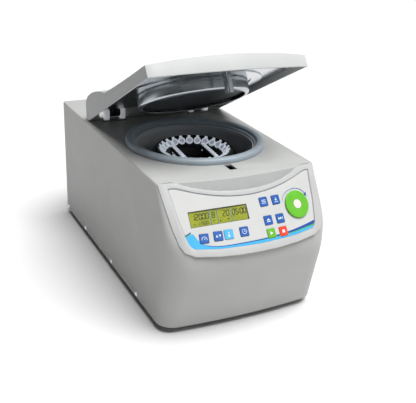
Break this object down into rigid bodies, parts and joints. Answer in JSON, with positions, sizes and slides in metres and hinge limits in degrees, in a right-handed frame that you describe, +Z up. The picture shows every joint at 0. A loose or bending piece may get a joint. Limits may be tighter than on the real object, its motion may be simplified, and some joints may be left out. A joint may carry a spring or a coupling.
{
  "type": "refrigerated microcentrifuge",
  "caption": "Bench microcentrifuge with a chilled chamber, hinged lid with a rear hump, angled rotor with tubes, and a sloping membrane control panel with display and dial.",
  "frame": {"origin": "middle of the overall box at the level the feet stand on", "axes": "+Z up, -Y towards the control panel, +X to the right seen from the front"},
  "size_m": [0.2832, 0.5544, 0.4077],
  "materials": {
    "casing_paint": "fine satin powder coat",
    "bezel_plastic": "moulded satin",
    "overlay_film": "printed film",
    "display_window": "clear",
    "display_glass": "backlit yellow-green",
    "key_blue": "domed film",
    "key_light_blue": "domed film",
    "key_green": "domed film",
    "key_red": "domed film",
    "dial_green": "satin",
    "button_white": "satin",
    "gasket_rubber": "smooth moulded",
    "seal_rubber": "matt",
    "foot_rubber": "matt",
    "stainless": "deep drawn",
    "polished_steel": "mirror polished",
    "zinc_steel": "plated",
    "black_plastic": "fine grain",
    "rotor_black": "hard anodised",
    "tube_plastic": "translucent",
    "insulation_foam": "cellular",
    "circuit_green": "solder mask",
    "copper_pipe": "drawn",
    "compressor_black": "gloss enamel",
    "fin_aluminium": "plain",
    "motor_paint": "satin"
  },
  "bodies": {
    "base": {"housing": "casing_paint", "base_pan": "zinc_steel", "rubber_feet": "foot_rubber", "side_screws": "polished_steel", "rear_panel": "casing_paint", "rear_screws": "zinc_steel", "power_inlet": "black_plastic", "inlet_pins": "zinc_steel", "fan_shroud": "black_plastic", "control_bezel": "bezel_plastic", "membrane_overlay": "overlay_film", "lcd_window": "display_window", "lcd_module": "display_glass", "control_pcb": "circuit_green", "key_switches": "black_plastic", "chamber_gasket": "gasket_rubber", "chamber_bowl": "stainless", "shaft_seal": "seal_rubber", "evaporator_coil": "copper_pipe", "insulation_shell": "insulation_foam", "motor_plate": "zinc_steel", "motor_dampers": "seal_rubber", "motor_body": "motor_paint", "compressor": "compressor_black", "compressor_grommets": "seal_rubber", "condenser": "fin_aluminium", "filter_drier": "copper_pipe", "refrigerant_lines": "copper_pipe", "power_board": "circuit_green", "latch_housing": "black_plastic", "latch_solenoid": "zinc_steel", "hinge_brackets": "polished_steel", "hinge_pins": "polished_steel"},
    "lid": {"lid_shell": "casing_paint", "lid_pan": "polished_steel", "lid_drum": "polished_steel", "drum_pad": "black_plastic", "lid_striker": "black_plastic", "hinge_arms": "black_plastic", "lid_screws": "polished_steel"},
    "rotor": {"rotor_body": "rotor_black", "rotor_nut": "zinc_steel", "drive_shaft": "zinc_steel", "sample_tubes": "tube_plastic", "tube_strips": "tube_plastic"},
    "dial": {"dial": "dial_green"},
    "dial_button": {"dial_button": "button_white"},
    "fan": {"fan_rotor": "black_plastic"},
    "rocker": {"power_rocker": "black_plastic"},
    "bolt": {"latch_bolt": "zinc_steel"},
    "key_speed": {"key_speed": "key_blue"},
    "key_accel": {"key_accel": "key_blue"},
    "key_temp": {"key_temp": "key_light_blue"},
    "key_time": {"key_time": "key_blue"},
    "key_program": {"key_program": "key_blue"},
    "key_save": {"key_save": "key_blue"},
    "key_open": {"key_open": "key_blue"},
    "key_short": {"key_short": "key_blue"},
    "key_start": {"key_start": "key_green"},
    "key_stop": {"key_stop": "key_red"}
  },
  "joints": [
    {"name": "lid_hinge", "type": "hinge", "parent": "base", "child": "lid", "pos_m": [0, 0.131, 0.25], "axis": [1, 0, 0], "range_deg": [0, 26.5], "stiffness_Nm_per_rad": 5, "springref_deg": -74.48},
    {"name": "rotor_spin", "type": "hinge", "parent": "base", "child": "rotor", "pos_m": [0, -0.038, 0.18], "axis": [0, 0, 1], "continuous": true},
    {"name": "dial_turn", "type": "hinge", "parent": "base", "child": "dial", "pos_m": [0.0806, -0.237, 0.18889], "axis": [0.1159, -0.8091, 0.5761], "continuous": true},
    {"name": "dial_press", "type": "slide", "parent": "dial", "child": "dial_button", "axis": [-0.1159, 0.8091, -0.5761], "range_m": [0, 0.0008], "stiffness_N_per_m": 800, "springref_m": -0.0005},
    {"name": "fan_spin", "type": "hinge", "parent": "base", "child": "fan", "pos_m": [0.062, 0.2575, 0.122], "axis": [0, -1, 0], "continuous": true},
    {"name": "rocker_tip", "type": "hinge", "parent": "base", "child": "rocker", "pos_m": [-0.058, 0.2652, 0.056], "axis": [1, 0, 0], "range_deg": [-16, 0]},
    {"name": "bolt_slide", "type": "slide", "parent": "base", "child": "bolt", "axis": [-1, 0, 0], "range_m": [0, 0.01]},
    {"name": "key_speed_press", "type": "slide", "parent": "base", "child": "key_speed", "axis": [0.1192, 0.8088, -0.5759], "range_m": [0, 0.0008], "stiffness_N_per_m": 800, "springref_m": -0.0005},
    {"name": "key_accel_press", "type": "slide", "parent": "base", "child": "key_accel", "axis": [0.0882, 0.8115, -0.5777], "range_m": [0, 0.0008], "stiffness_N_per_m": 800, "springref_m": -0.0005},
    {"name": "key_temp_press", "type": "slide", "parent": "base", "child": "key_temp", "axis": [0.0644, 0.8129, -0.5788], "range_m": [0, 0.0008], "stiffness_N_per_m": 800, "springref_m": -0.0005},
    {"name": "key_time_press", "type": "slide", "parent": "base", "child": "key_time", "axis": [0.0286, 0.8143, -0.5798], "range_m": [0, 0.0008], "stiffness_N_per_m": 800, "springref_m": -0.0005},
    {"name": "key_program_press", "type": "slide", "parent": "base", "child": "key_program", "axis": [-0.0331, 0.8142, -0.5797], "range_m": [0, 0.0008], "stiffness_N_per_m": 800, "springref_m": -0.0005},
    {"name": "key_save_press", "type": "slide", "parent": "base", "child": "key_save", "axis": [-0.0641, 0.8129, -0.5788], "range_m": [0, 0.0008], "stiffness_N_per_m": 800, "springref_m": -0.0005},
    {"name": "key_open_press", "type": "slide", "parent": "base", "child": "key_open", "axis": [-0.0339, 0.8142, -0.5797], "range_m": [0, 0.0008], "stiffness_N_per_m": 800, "springref_m": -0.0005},
    {"name": "key_short_press", "type": "slide", "parent": "base", "child": "key_short", "axis": [-0.0644, 0.8129, -0.5788], "range_m": [0, 0.0008], "stiffness_N_per_m": 800, "springref_m": -0.0005},
    {"name": "key_start_press", "type": "slide", "parent": "base", "child": "key_start", "axis": [-0.0341, 0.8141, -0.5797], "range_m": [0, 0.0008], "stiffness_N_per_m": 800, "springref_m": -0.0005},
    {"name": "key_stop_press", "type": "slide", "parent": "base", "child": "key_stop", "axis": [-0.0647, 0.8129, -0.5788], "range_m": [0, 0.0008], "stiffness_N_per_m": 800, "springref_m": -0.0005}
  ]
}
